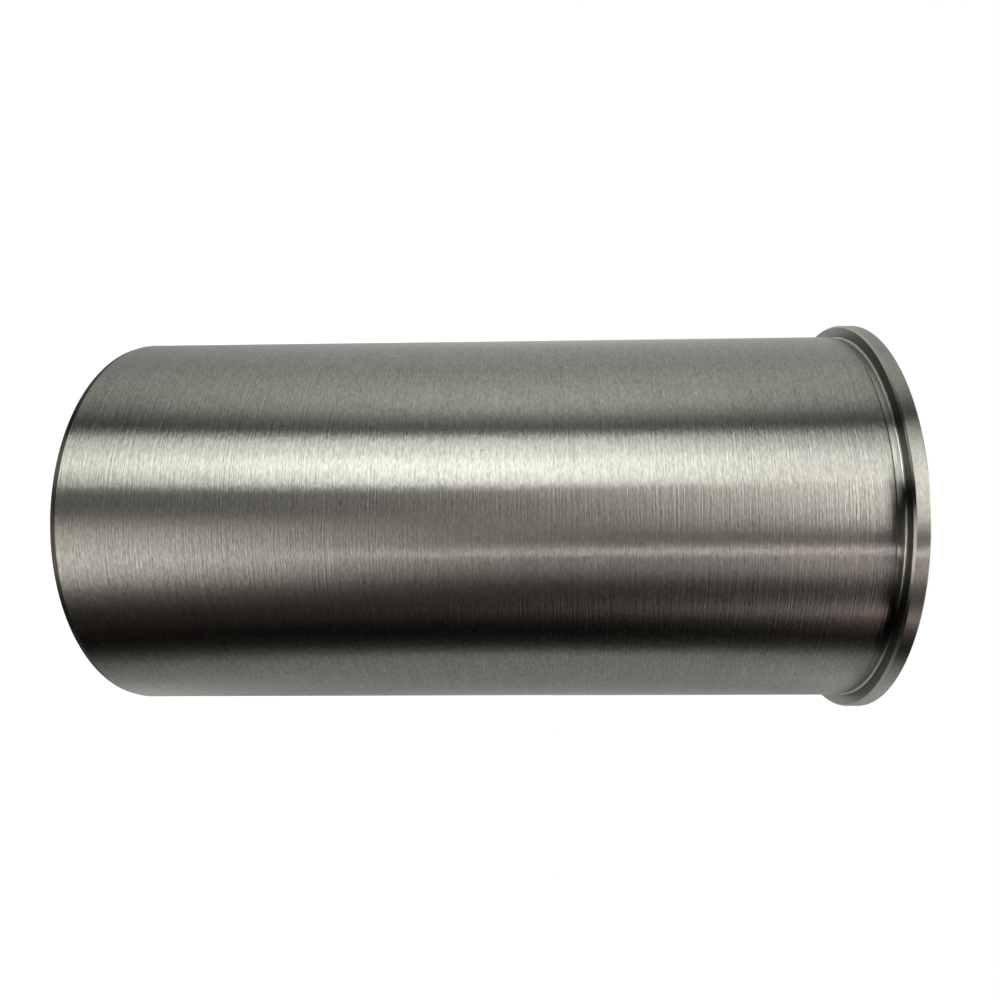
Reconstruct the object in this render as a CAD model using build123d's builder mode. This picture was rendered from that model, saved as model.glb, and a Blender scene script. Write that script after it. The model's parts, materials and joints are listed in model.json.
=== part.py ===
"""Dry cylinder liner: a thin cast iron sleeve with a locating flange, turned, ground and bored in one piece.

It stands on its skirt end with the axis along +Z and the flange uppermost. The origin is on the
axis, in the plane of the skirt end. Every size is in millimetres.
"""

import os

from build123d import *

# Sleeve
bore_diameter = 102.0
wall = 2.0  # between the bore and the ground barrel
length = 204.5  # skirt end to gasket face

# Flange that locates the liner in the counterbore at the top of the cylinder block
flange_width = 3.1  # how far it stands out from the barrel
flange_thickness = 3.9
flange_top_chamfer = 0.3
flange_seat_chamfer = 0.5  # on the lower corner, which enters the counterbore

# Relief that lets the grinding wheel run out under the flange
relief_width = 2.6  # from the end of the ground barrel to the flange seat
relief_depth = 0.5
relief_run_in = 0.6  # height of the slope from the barrel to the relief's floor
root_fillet = 0.45  # between the relief's floor and the flange seat

# Lead-in at the skirt end, which enters the block first
lead_in_height = 1.4
lead_in_depth = 0.38

# Bore mouths
bore_top_chamfer = 0.5
bore_skirt_chamfer_height = 1.2
bore_skirt_chamfer_depth = 0.5

# Worked out from the sizes above
bore_radius = bore_diameter / 2
barrel_radius = bore_radius + wall
flange_radius = barrel_radius + flange_width
relief_radius = barrel_radius - relief_depth
seat_height = length - flange_thickness
barrel_top = seat_height - relief_width


def rim(part, radius, height):
    """The part's circular edge nearest to this radius and height."""
    circles = part.edges().filter_by(GeomType.CIRCLE)
    return circles.sort_by(lambda edge: abs(edge.radius - radius) + abs(edge.arc_center.Z - height))[0]


with BuildPart() as liner:
    # Rough turning: a tube with a collar at its top
    with BuildSketch():
        Circle(barrel_radius)
    extrude(amount=length)
    with BuildSketch(Plane.XY.offset(seat_height)):
        Circle(flange_radius)
    extrude(amount=flange_thickness)
    with BuildSketch():
        Circle(bore_radius)
    extrude(amount=length, mode=Mode.SUBTRACT)

    # Grinding relief under the collar: a ring whose lower side slopes in from the barrel
    with BuildSketch(Plane.XZ):
        with BuildLine():
            Polyline(
                (barrel_radius, barrel_top),
                (relief_radius, barrel_top + relief_run_in),
                (relief_radius, seat_height),
                (barrel_radius, seat_height),
                close=True,
            )
        make_face()
    revolve(axis=Axis.Z, mode=Mode.SUBTRACT)
    fillet(rim(liner, relief_radius, seat_height), radius=root_fillet)

    # Flange corners and the bore's top mouth
    chamfer(rim(liner, flange_radius, seat_height), length=flange_seat_chamfer)
    chamfer(rim(liner, flange_radius, length), length=flange_top_chamfer)
    chamfer(rim(liner, bore_radius, length), length=bore_top_chamfer)

    # Skirt end: each chamfer's depth is measured across the end face and its height along the axis
    skirt_end = liner.faces().sort_by(Axis.Z)[0]
    chamfer(rim(liner, barrel_radius, 0), lead_in_depth, lead_in_height, reference=skirt_end)
    skirt_end = liner.faces().sort_by(Axis.Z)[0]
    chamfer(
        rim(liner, bore_radius, 0),
        bore_skirt_chamfer_depth,
        bore_skirt_chamfer_height,
        reference=skirt_end,
    )

liner.part.label = "cylinder_liner"

os.makedirs("parts", exist_ok=True)
export_step(liner.part, "parts/cylinder_liner.step")
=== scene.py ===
"""A dry cylinder liner standing on its skirt end: ground outside, honed inside, on a pale studio floor."""

import json
import math

import bpy
import numpy as np
from mathutils import Matrix


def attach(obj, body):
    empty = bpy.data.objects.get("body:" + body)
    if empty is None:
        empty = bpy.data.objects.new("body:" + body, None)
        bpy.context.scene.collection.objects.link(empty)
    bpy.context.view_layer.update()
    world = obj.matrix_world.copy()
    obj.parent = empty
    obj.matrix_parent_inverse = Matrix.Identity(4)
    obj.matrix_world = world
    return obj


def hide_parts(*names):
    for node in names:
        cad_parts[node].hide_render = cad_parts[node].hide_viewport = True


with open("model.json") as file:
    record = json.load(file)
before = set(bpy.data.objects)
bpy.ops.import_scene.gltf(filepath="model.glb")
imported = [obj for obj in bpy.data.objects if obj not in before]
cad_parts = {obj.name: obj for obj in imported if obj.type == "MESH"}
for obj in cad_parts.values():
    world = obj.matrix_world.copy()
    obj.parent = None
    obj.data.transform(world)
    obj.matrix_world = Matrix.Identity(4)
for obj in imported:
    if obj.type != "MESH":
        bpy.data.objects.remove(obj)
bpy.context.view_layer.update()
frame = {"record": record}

MM = 0.001

# ---------------------------------------------------------------------------------------------
# Sizes, in metres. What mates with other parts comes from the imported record's mounts.
# ---------------------------------------------------------------------------------------------

mounts = {mount["name"]: mount for mount in frame["record"]["mounts"]}


def mount_radius(name):
    """The radius of a round mount."""
    return mounts[name]["dims"]["r_mm"] * MM


def mount_span(name):
    """The lowest and highest point of a round mount's wall."""
    half = mounts[name]["dims"]["length_mm"] * MM / 2
    middle = mounts[name]["pos_m"][2]
    return middle - half, middle + half


BORE_RADIUS = mount_radius("bore")
BARREL_RADIUS = mount_radius("barrel")
FLANGE_RADIUS = mount_radius("flange_rim")
BORE_FOOT, BORE_HEAD = mount_span("bore")
BARREL_FOOT, BARREL_HEAD = mount_span("barrel")
RIM_FOOT, RIM_HEAD = mount_span("flange_rim")
SEAT = mounts["flange_seat"]["pos_m"][2]
TOP = mounts["gasket_face"]["pos_m"][2]

LEAD_IN_DEPTH = 0.38 * MM
RELIEF_DEPTH = 0.5 * MM
RELIEF_RUN_IN = 0.6 * MM
ROOT_FILLET = 0.45 * MM
BORE_HEAD_CHAMFER = 0.5 * MM
BORE_FOOT_CHAMFER = 0.5 * MM
BROKEN_EDGE = 0.06 * MM  # what deburring leaves of a sharp corner

STEPS_AROUND = 320
STEPS_PER_CORNER = 6
LONGEST_STEP = 5 * MM  # along the section

# ---------------------------------------------------------------------------------------------
# Shader maths
# ---------------------------------------------------------------------------------------------


class Field:
    """A socket that can be used in sums. Each operator adds the Math node that works it out."""

    def __init__(self, graph, socket):
        self.graph = graph
        self.socket = socket

    def output(self, name):
        """Another output of the same node."""
        return Field(self.graph, self.socket.node.outputs[name])

    def __add__(self, other):
        return self.graph.maths("ADD", self, other)

    def __radd__(self, other):
        return self.graph.maths("ADD", other, self)

    def __sub__(self, other):
        return self.graph.maths("SUBTRACT", self, other)

    def __rsub__(self, other):
        return self.graph.maths("SUBTRACT", other, self)

    def __mul__(self, other):
        return self.graph.maths("MULTIPLY", self, other)


class Graph:
    """The node tree of a material or the world, emptied so that it can be filled."""

    def __init__(self, owner):
        owner.use_nodes = True
        self.tree = owner.node_tree
        self.tree.nodes.clear()

    def node(self, kind, settings=None, sockets=None, output=0):
        """Adds a node, sets its settings, then gives its sockets their values or links."""
        made = self.tree.nodes.new(kind)
        for name, value in (settings or {}).items():
            setattr(made, name, value)
        for name, value in (sockets or {}).items():
            if isinstance(value, Field):
                self.tree.links.new(value.socket, made.inputs[name])
            else:
                made.inputs[name].default_value = value
        return Field(self, made.outputs[output]) if made.outputs else None

    def maths(self, operation, *terms):
        """The Math node of this operation on fields and numbers."""
        return self.node("ShaderNodeMath", {"operation": operation}, dict(enumerate(terms)))

    def rise(self, value, low, high, bottom=0.0, top=1.0):
        """A soft step of value: bottom up to low, top from high on."""
        sockets = {"Value": value, "From Min": low, "From Max": high, "To Min": bottom, "To Max": top}
        return self.node("ShaderNodeMapRange", {"interpolation_type": "SMOOTHSTEP"}, sockets)

    def scaled(self, vector, by):
        """A vector or colour times one number."""
        return self.node("ShaderNodeVectorMath", {"operation": "SCALE"}, {0: vector, "Scale": by})

    def stretched(self, vector, by):
        """A vector times another, axis by axis."""
        return self.node("ShaderNodeVectorMath", {"operation": "MULTIPLY"}, {0: vector, 1: by})

    def noise(self, vector, detail=2.0, roughness=0.5):
        """Smooth noise between about 0 and 1, one cell to each unit of vector."""
        sockets = {"Vector": vector, "Scale": 1.0, "Detail": detail, "Roughness": roughness}
        return self.node("ShaderNodeTexNoise", {"noise_dimensions": "3D"}, sockets)

    def place(self):
        """Where the point lies on the part, in metres."""
        return self.node("ShaderNodeTexCoord", output="Object")


# ---------------------------------------------------------------------------------------------
# Finishes
# ---------------------------------------------------------------------------------------------

MICRON = 0.001 * MM

# Colours of the bare metal.
GROUND_IRON = (0.342, 0.342, 0.300)
CUT_IRON = (0.52, 0.52, 0.46)  # freshly turned, brighter than the ground skin
PAINTED_SHADE_IRON = (0.1, 0.1, 0.078)  # painted shade: a dark colour for the shade under the flange, also used on the lead-in
HONED_IRON = (0.45, 0.45, 0.405)  # the bore's plateaus, between the scratches

GROUND_ROUGHNESS = 0.276
TURNED_ROUGHNESS = 0.24
MATT_ROUGHNESS = 0.34
HONED_ROUGHNESS = 0.36
HONED_ANISOTROPY = 0.3  # low, because the scratches cross
QUARTER_TURN = 0.25  # of the shader's anisotropic rotation: spreads a highlight across the tool marks

# How fine the marks are, in cells to a metre along X, Y and Z. A few cells across and many up make
# long lines around the axis, and more cells across break them into short strokes.
GROUND_RINGS = (12, 12, 2300)
GROUND_STROKES = (170, 170, 2600)
GROUND_GRAIN = (700, 700, 2800)
GROUND_MOTTLE = (200, 200, 400)
PORES = (1100, 1100, 2200)
PORE_SHADE = 0.6  # of the colour around a pore
RIM_GRAIN = (1100, 1100, 2200)
RIM_MOTTLE = (320, 320, 500)
TURNED_RINGS = (40, 40, 6000)
TURNED_STROKES = (500, 500, 4500)
FACING_RINGS = 3800  # along the radius
FACING_DRIFT = (60, 60, 60)
HONE_SCRATCHES = (1500, 1500, 20)  # in a frame that turns with the scratches
HONE_ANGLE = math.radians(30)  # of each set of scratches, from the plane across the bore


def iron(name, build):
    """A bare iron material. build(graph) gives the shader's sockets."""
    material = bpy.data.materials.new(name)
    graph = Graph(material)
    marks = graph.node("ShaderNodeTangent", {"direction_type": "RADIAL", "axis": "Z"})
    sockets = {
        "Base Color": (*GROUND_IRON, 1.0),
        "Metallic": 1.0,
        "Roughness": GROUND_ROUGHNESS,
        "Anisotropic": 1.0,
        "Anisotropic Rotation": QUARTER_TURN,
        "Tangent": marks,
    }
    sockets.update(build(graph))
    shader = graph.node("ShaderNodeBsdfPrincipled", {}, sockets)
    graph.node("ShaderNodeOutputMaterial", {}, {"Surface": shader})
    return material


def swing(field, amount):
    """Noise moved to lie about zero: its highest and lowest values end up about amount apart."""
    return (field - 0.5) * amount


def bump(graph, height):
    """The normal of a surface raised by height, in metres."""
    return graph.node("ShaderNodeBump", {}, {"Strength": 1.0, "Distance": 1.0, "Height": height})


def ground(graph):
    """Cylindrical grinding: fine lines around the axis, broken into short strokes, with a few pores."""
    place = graph.place()
    rings = graph.noise(graph.stretched(place, GROUND_RINGS), 1.0)
    strokes = graph.noise(graph.stretched(place, GROUND_STROKES), 1.0)
    grain = graph.noise(graph.stretched(place, GROUND_GRAIN), 1.0)
    mottle = graph.noise(graph.stretched(place, GROUND_MOTTLE), detail=4.0, roughness=0.6)
    pores = graph.noise(graph.stretched(place, PORES), 0.0)
    height = rings * (48 * MICRON) + strokes * (36 * MICRON) + grain * (24 * MICRON)
    shade = 1 + swing(rings, 0.26) + swing(strokes, 0.28) + swing(grain, 0.85) + swing(mottle, 0.15)
    shade = shade * graph.rise(pores, 0.8, 0.9, bottom=1.0, top=PORE_SHADE)
    return {
        "Base Color": graph.scaled(GROUND_IRON, shade),
        "Roughness": GROUND_ROUGHNESS + mottle * 0.004,
        "Normal": bump(graph, height),
    }


def rim(graph):
    """The flange's rim: ground to a fine, even grain."""
    place = graph.place()
    grain = graph.noise(graph.stretched(place, RIM_GRAIN), 1.0)
    mottle = graph.noise(graph.stretched(place, RIM_MOTTLE), 3.0)
    shade = 1 + swing(grain, 0.6) + swing(mottle, 0.35)
    return {
        "Base Color": graph.scaled(GROUND_IRON, shade),
        "Normal": bump(graph, grain * (14 * MICRON)),
    }


def turned(graph):
    """Lathe turning: even rings along the tool's path."""
    place = graph.place()
    lines = graph.noise(graph.stretched(place, TURNED_RINGS), 1.0)
    strokes = graph.noise(graph.stretched(place, TURNED_STROKES), 1.0)
    shade = 1 + swing(lines, 0.3) + swing(strokes, 0.3)
    return {
        "Base Color": graph.scaled(CUT_IRON, shade),
        "Roughness": TURNED_ROUGHNESS,
        "Normal": bump(graph, (lines + strokes) * (14 * MICRON)),
    }


def undercut(graph):
    """The seat and the lead-in: turned matt, in a dark colour that paints the shade under the flange."""
    place = graph.place()
    lines = graph.noise(graph.stretched(place, TURNED_RINGS), 1.0)
    return {
        # painted shade: this dark colour stands for the shade under the flange
        "Base Color": graph.scaled(PAINTED_SHADE_IRON, 1 + swing(lines, 0.3)),
        "Roughness": MATT_ROUGHNESS,
        "Normal": bump(graph, lines * (12 * MICRON)),
    }


def faced(graph):
    """Facing cuts: fine rings around the axis on the flat end faces."""
    place = graph.place()
    flat = graph.stretched(place, (1, 1, 0))
    radius = graph.node("ShaderNodeVectorMath", {"operation": "LENGTH"}, {0: flat}, "Value")
    ring = graph.node("ShaderNodeCombineXYZ", {}, {"X": radius * FACING_RINGS})
    drift = graph.noise(graph.stretched(place, FACING_DRIFT), 2.0)
    lines = graph.noise(ring, 2.0)
    height = lines * (14 * MICRON) + drift * (10 * MICRON)
    return {
        "Base Color": graph.scaled(GROUND_IRON, 1 + swing(lines, 0.5)),
        "Roughness": MATT_ROUGHNESS + swing(lines, 0.1),
        "Normal": bump(graph, height),
    }


def honed(graph):
    """Plateau honing: two sets of helical scratches that cross at twice the hone angle."""
    place = graph.place()
    height_up = graph.node("ShaderNodeSeparateXYZ", {}, {"Vector": place}, "Z")
    twist = 1 / (BORE_RADIUS * math.tan(HONE_ANGLE))
    depth = 0
    for way in (-1, 1):
        wound = graph.node(
            "ShaderNodeVectorRotate",
            {"rotation_type": "Z_AXIS"},
            {"Vector": place, "Angle": height_up * (way * twist)},
        )
        scratches = graph.noise(graph.stretched(wound, HONE_SCRATCHES), 1.0)
        depth = depth + graph.rise(scratches, 0.5, 0.68)
    return {
        "Base Color": graph.scaled(HONED_IRON, 1 - depth * 0.3),
        "Roughness": HONED_ROUGHNESS + depth * 0.05,
        "Anisotropic": HONED_ANISOTROPY,
        "Normal": bump(graph, depth * (-10 * MICRON)),
    }


FINISHES = {
    "ground": ground,
    "rim": rim,
    "turned": turned,
    "undercut": undercut,
    "faced": faced,
    "honed": honed,
}

# ---------------------------------------------------------------------------------------------
# Shape
# ---------------------------------------------------------------------------------------------

# The liner's section, counterclockwise from the skirt end's outer corner: radius, height,
# corner radius, and the finish of the stretch that follows.
SECTION = [
    (BARREL_RADIUS - LEAD_IN_DEPTH, 0, BROKEN_EDGE, "undercut"),
    (BARREL_RADIUS, BARREL_FOOT, BROKEN_EDGE, "ground"),
    (BARREL_RADIUS, BARREL_HEAD, BROKEN_EDGE, "turned"),
    (BARREL_RADIUS - RELIEF_DEPTH, BARREL_HEAD + RELIEF_RUN_IN, BROKEN_EDGE, "turned"),
    (BARREL_RADIUS - RELIEF_DEPTH, SEAT, ROOT_FILLET, "undercut"),
    (FLANGE_RADIUS - (RIM_FOOT - SEAT), SEAT, BROKEN_EDGE, "turned"),
    (FLANGE_RADIUS, RIM_FOOT, BROKEN_EDGE, "rim"),
    (FLANGE_RADIUS, RIM_HEAD, BROKEN_EDGE, "rim"),
    (FLANGE_RADIUS - (TOP - RIM_HEAD), TOP, BROKEN_EDGE, "faced"),
    (BORE_RADIUS + BORE_HEAD_CHAMFER, TOP, BROKEN_EDGE, "turned"),
    (BORE_RADIUS, BORE_HEAD, BROKEN_EDGE, "honed"),
    (BORE_RADIUS, BORE_FOOT, BROKEN_EDGE, "turned"),
    (BORE_RADIUS + BORE_FOOT_CHAMFER, 0, BROKEN_EDGE, "faced"),
]


def rounded_section(section):
    """The closed section with every corner turned into an arc tangent to both of its sides.

    A corner with side directions u and w turns by the angle t between them. Its arc of radius c
    starts c tan(t/2) before the corner, and its point at share k is where a walk along the arc
    that has turned by k t has come to. The outward normal lies to the right of the walk. Long
    straight stretches are divided evenly, and a corner has the finish of the stretch before it.
    Gives points, normals and the finish after each point.
    """
    corners = np.array([row[:2] for row in section], float)
    radii = np.array([row[2] for row in section], float)
    ahead = np.roll(corners, -1, axis=0) - corners
    ahead /= np.linalg.norm(ahead, axis=1, keepdims=True)
    behind = np.roll(ahead, 1, axis=0)
    turn = np.arctan2(
        behind[:, 0] * ahead[:, 1] - behind[:, 1] * ahead[:, 0],
        (behind * ahead).sum(axis=1),
    )
    start = corners - behind * (radii * np.tan(abs(turn) / 2))[:, None]
    heading = np.arctan2(behind[:, 1], behind[:, 0])
    share = np.linspace(0, 1, STEPS_PER_CORNER + 1)
    now = heading[:, None] + turn[:, None] * share
    bend = (radii * np.sign(turn))[:, None]
    arc = np.stack(
        [
            start[:, :1] + bend * (np.sin(now) - np.sin(now[:, :1])),
            start[:, 1:] - bend * (np.cos(now) - np.cos(now[:, :1])),
        ],
        axis=2,
    )
    outward = np.stack([np.sin(now), -np.cos(now)], axis=2)

    points, normals, finishes = [], [], []
    for i, row in enumerate(section):
        before = section[i - 1]
        end, following = arc[i, -1], arc[(i + 1) % len(section), 0]
        pieces = math.ceil(np.linalg.norm(following - end) / LONGEST_STEP)
        between = np.linspace(end, following, pieces + 1)[1:-1]
        points += [arc[i], between]
        normals += [outward[i], np.repeat(outward[i, -1:], len(between), axis=0)]
        finishes += [before[3]] * STEPS_PER_CORNER + [row[3]] * (1 + len(between))
    return np.concatenate(points), np.concatenate(normals), finishes


def lathe(name, section):
    """The section carried once around the Z axis.

    The point of the section at radius r and height z, at the angle a around the axis, goes to
    (r cos a, r sin a, z), and its normal turns with it. Both directions close on themselves.
    """
    points, normals, finishes = rounded_section(section)
    angle = np.linspace(0, 2 * np.pi, STEPS_AROUND, endpoint=False)[:, None]

    def around(values):
        across, along = values[:, 0], values[:, 1]
        turned_round = [across * np.cos(angle), across * np.sin(angle), along + 0 * angle]
        return np.stack(turned_round, axis=2).reshape(-1, 3)

    steps, rows = STEPS_AROUND, len(points)
    index = np.arange(steps * rows).reshape(steps, rows)
    beside = np.roll(index, -1, axis=0)
    above = np.roll(index, -1, axis=1)
    corner = np.roll(beside, -1, axis=1)
    faces = np.stack([index, beside, corner, above], axis=2).reshape(-1, 4)

    mesh = bpy.data.meshes.new(name)
    mesh.from_pydata(around(points), [], faces)
    order = list(FINISHES)
    slots = np.array([order.index(finish) for finish in finishes])
    mesh.polygons.foreach_set("material_index", np.tile(slots, steps))
    mesh.polygons.foreach_set("use_smooth", np.ones(len(mesh.polygons), bool))
    for finish, build in FINISHES.items():
        mesh.materials.append(iron(f"{finish}_iron", build))
    mesh.normals_split_custom_set_from_vertices(around(normals))
    mesh.update()
    made = bpy.data.objects.new(name, mesh)
    bpy.context.scene.collection.objects.link(made)
    return made


liner = lathe("liner", SECTION)
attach(liner, "root")
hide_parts("cylinder_liner")

# ---------------------------------------------------------------------------------------------
# Studio
# ---------------------------------------------------------------------------------------------

FLOOR_REACH = 6.0
FLOOR_GAP = 0.05 * MM  # below the skirt end, so that the two faces never coincide
PAPER = (0.8, 0.8, 0.8, 1)  # the floor's own colour, for light that bounces off it
SHADED_PAPER = (0.3, 0.3, 0.3, 1)  # the part of the floor's look that a shadow can darken
PAPER_GLOW = 0.8  # the part that stays bright in a shadow
WHITE = (1, 1, 1, 1)


def studio_floor():
    """A pale floor that looks white and keeps the liner's shadow. Reflected rays pass through it."""
    material = bpy.data.materials.new("floor_paper")
    graph = Graph(material)
    rays = graph.node("ShaderNodeLightPath", output="Is Camera Ray")
    paper = graph.node("ShaderNodeBsdfDiffuse", {}, {"Color": PAPER})
    tinted = graph.node("ShaderNodeBsdfDiffuse", {}, {"Color": SHADED_PAPER})
    glow = graph.node("ShaderNodeEmission", {}, {"Color": WHITE, "Strength": PAPER_GLOW})
    seen = graph.node("ShaderNodeAddShader", {}, {0: tinted, 1: glow})
    solid = graph.node("ShaderNodeMixShader", {}, {0: rays, 1: paper, 2: seen})
    clear = graph.node("ShaderNodeBsdfTransparent")
    shader = graph.node("ShaderNodeMixShader", {}, {0: rays.output("Is Glossy Ray"), 1: solid, 2: clear})
    graph.node("ShaderNodeOutputMaterial", {}, {"Surface": shader})
    mesh = bpy.data.meshes.new("floor")
    reach = FLOOR_REACH
    outline = ((-reach, -reach), (reach, -reach), (reach, reach), (-reach, reach))
    mesh.from_pydata([(x, y, -FLOOR_GAP) for x, y in outline], [], [(0, 1, 2, 3)])
    mesh.materials.append(material)
    floor = bpy.data.objects.new("floor", mesh)
    bpy.context.scene.collection.objects.link(floor)
    return floor


# What lights the liner: soft panels around it with dark gaps between, and a white backdrop behind.
# In degrees: azimuth 0 is towards the camera and grows towards -X. Each row: azimuth from and to
# and the width of those two edges, elevation from and to and the width of those two edges, how far
# the panel leans (azimuth per elevation), strength, tint.
PANELS = {
    "key_low": ((30, 50), (15, 5), (-40, 5), (10, 45), 0, 2.3, "plain"),
    "key_high": ((40, 50), (10, 20), (-5, 90), (10, 10), 0.4, 2.2, "plain"),
    "key_edge": ((19, 35), (5, 15), (-30, 15), (5, 5), 0, 3.2, "plain"),
    "front_high": ((-10, 30), (15, 15), (52, 60), (5, 15), 0, 13, "warm"),
    "front_top": ((0, 45), (30, 10), (50, 65), (15, 45), 0.2, 12, "warm"),
    "front_mid": ((15, 25), (20, 15), (10, 85), (10, 30), 0.2, 1.0, "warm"),
    "front_floor": ((-65, -20), (15, 15), (-60, -40), (10, 50), 0.4, 2.0, "warm"),
    "front_knee": ((-15, 15), (20, 30), (-40, -35), (5, 10), -0.6, 7, "warm"),
    "slit": ((-22, -20.5), (2, 2), (-5, 85), (10, 35), 0, 4, "rosy"),
    "slit_side": ((-35, -32), (15, 20), (20, 60), (5, 10), 0, 2.0, "rosy"),
    "patch": ((-80, -63), (30, 5), (45, 50), (30, 35), 0, 5, "ruddy"),
    "patch_foot": ((-65, -60), (5, 5), (25, 70), (10, 5), 0, 1.0, "ruddy"),
    "low_corner": ((-60, -25), (10, 5), (60, 75), (50, 10), 0, 6, "ruddy"),
    "side_left_near": ((62, 90), (25, 30), (-30, 25), (5, 35), 0, 1.0, "plain"),
    "side_left": ((90, 170), (25, 20), (-40, 50), (50, 5), 0, 0.6, "plain"),
    "side_right": ((-180, -90), (5, 10), (-35, 40), (35, 45), 0, 0.4, "plain"),
    "far_foot": ((-175, -130), (10, 30), (-75, -35), (20, 35), 0, 2.0, "plain"),
    "far_head": ((-175, -120), (10, 20), (30, 55), (25, 20), 0, 2.0, "plain"),
    "backdrop_left": ((165, 200), (12, 12), (-100, 100), (20, 20), 0, 1.3, "plain"),
    "backdrop_right": ((-200, -165), (12, 12), (-100, 100), (20, 20), 0, 1.3, "plain"),
    "ceiling": ((-200, 200), (10, 10), (70, 100), (25, 10), 0, 1.0, "plain"),
}
# The colours of the panels' light.
TINTS = {
    "plain": (0.99, 1.0, 0.985, 1),
    "warm": (1.055, 1.0, 0.985, 1),
    "rosy": (1.09, 1.0, 1.07, 1),
    "ruddy": (1.22, 1.0, 1.0, 1),
}


def panel(graph, azimuth, elevation, shape):
    """One soft panel's light: a smooth step in at each of its four edges, multiplied together."""
    (left, right), soft, (low, high), fade, lean, strength = shape
    across = azimuth + elevation * lean if lean else azimuth
    light = graph.rise(across, left - soft[0] / 2, left + soft[0] / 2, 0.0, strength)
    light = light * graph.rise(across, right - soft[1] / 2, right + soft[1] / 2, 1.0, 0.0)
    light = light * graph.rise(elevation, low - fade[0] / 2, low + fade[0] / 2)
    return light * graph.rise(elevation, high - fade[1] / 2, high + fade[1] / 2, 1.0, 0.0)


def studio_world():
    """The panels, which light everything, and plain white for the camera and through glass."""
    world = bpy.data.worlds.new("studio")
    bpy.context.scene.world = world
    graph = Graph(world)
    direction = graph.node("ShaderNodeTexCoord", output="Generated")
    x = graph.node("ShaderNodeSeparateXYZ", {}, {"Vector": direction})
    y, z = x.output("Y"), x.output("Z")
    azimuth = graph.maths("ARCTAN2", x * -1, y * -1) * math.degrees(1)
    elevation = graph.maths("ARCSINE", z) * math.degrees(1)
    studio = None
    for tint, colour in TINTS.items():
        light = 0
        for *shape, panel_tint in PANELS.values():
            if panel_tint == tint:
                light = light + panel(graph, azimuth, elevation, shape)
        shine = graph.node("ShaderNodeBackground", {}, {"Color": colour, "Strength": light})
        studio = graph.node("ShaderNodeAddShader", {}, {0: studio, 1: shine}) if studio else shine
    white = graph.node("ShaderNodeBackground", {}, {"Color": WHITE, "Strength": 1.0})
    rays = graph.node("ShaderNodeLightPath")
    seen = graph.maths("MAXIMUM", rays.output("Is Camera Ray"), rays.output("Is Transmission Ray"))
    shader = graph.node("ShaderNodeMixShader", {}, {0: seen, 1: studio, 2: white})
    graph.node("ShaderNodeOutputWorld", {}, {"Surface": shader})


studio_floor()
studio_world()

# ---------------------------------------------------------------------------------------------
# Camera
# ---------------------------------------------------------------------------------------------

CAMERA_DISTANCE = 214.95 * MM  # from the liner's axis
CAMERA_HEIGHT = 121.4 * MM
CAMERA_YAW, CAMERA_PITCH, CAMERA_ROLL = (math.radians(turn) for turn in (-1.151, -1.495, 0.442))
SENSOR_WIDTH = 36.0  # in millimetres, as the lens's focal length is
NEAREST_SEEN = 10 * MM
FOCAL_PIXELS, FRAME_PIXELS = 696.6, 1000
CENTRE_ACROSS, CENTRE_DOWN = 549.4, 498.65  # where the lens looks straight ahead, in pixels


def camera():
    """A camera beside the liner, laid on its side so that the flange is at the right."""
    lens = bpy.data.cameras.new("camera")
    lens.sensor_width = SENSOR_WIDTH
    lens.lens = SENSOR_WIDTH * FOCAL_PIXELS / FRAME_PIXELS
    lens.shift_x = 0.5 - CENTRE_ACROSS / FRAME_PIXELS
    lens.shift_y = CENTRE_DOWN / FRAME_PIXELS - 0.5
    lens.clip_start = NEAREST_SEEN
    made = bpy.data.objects.new("camera", lens)
    bpy.context.scene.collection.objects.link(made)
    on_its_side = Matrix(((0, -1, 0), (0, 0, -1), (1, 0, 0)))
    aim = (
        Matrix.Rotation(-CAMERA_YAW, 3, "Y")
        @ Matrix.Rotation(-CAMERA_PITCH, 3, "X")
        @ Matrix.Rotation(-CAMERA_ROLL, 3, "Z")
    )
    stand = Matrix.Translation((0, -CAMERA_DISTANCE, CAMERA_HEIGHT))
    made.matrix_world = stand @ (on_its_side @ aim).to_4x4()
    bpy.context.scene.camera = made


camera()
bpy.context.scene.view_settings.view_transform = "Standard"
